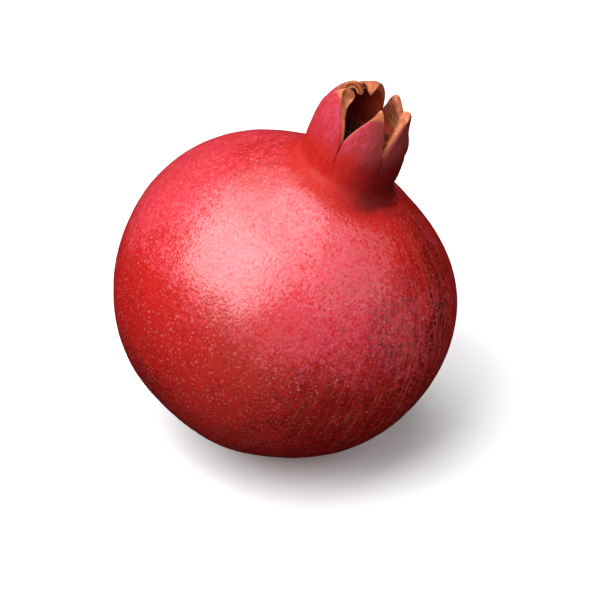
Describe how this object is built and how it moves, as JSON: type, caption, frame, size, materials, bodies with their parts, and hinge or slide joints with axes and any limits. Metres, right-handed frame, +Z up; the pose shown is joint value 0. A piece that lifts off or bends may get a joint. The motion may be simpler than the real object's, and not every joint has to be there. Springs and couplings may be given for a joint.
{
  "type": "pomegranate",
  "caption": "Whole ripe pomegranate lying slightly on its side, round red rind, open leathery crown with dried stamens inside, cut stalk stub underneath.",
  "frame": {"origin": "middle of the small flat spot that the fruit rests on", "axes": "+Z up; +X towards the side that the crown tips to; the fruit's own axis leans 21.5 degrees from +Z to +X"},
  "size_m": [0.0874, 0.0884, 0.0989],
  "materials": {
    "rind": "smooth, waxy, semi-gloss fruit skin",
    "dry_stamen": "dry, matte",
    "stalk_wood": "rough, dry"
  },
  "bodies": {
    "root": {"fruit": "rind", "stamens": "dry_stamen", "stem_stub": "stalk_wood"}
  },
  "joints": []
}
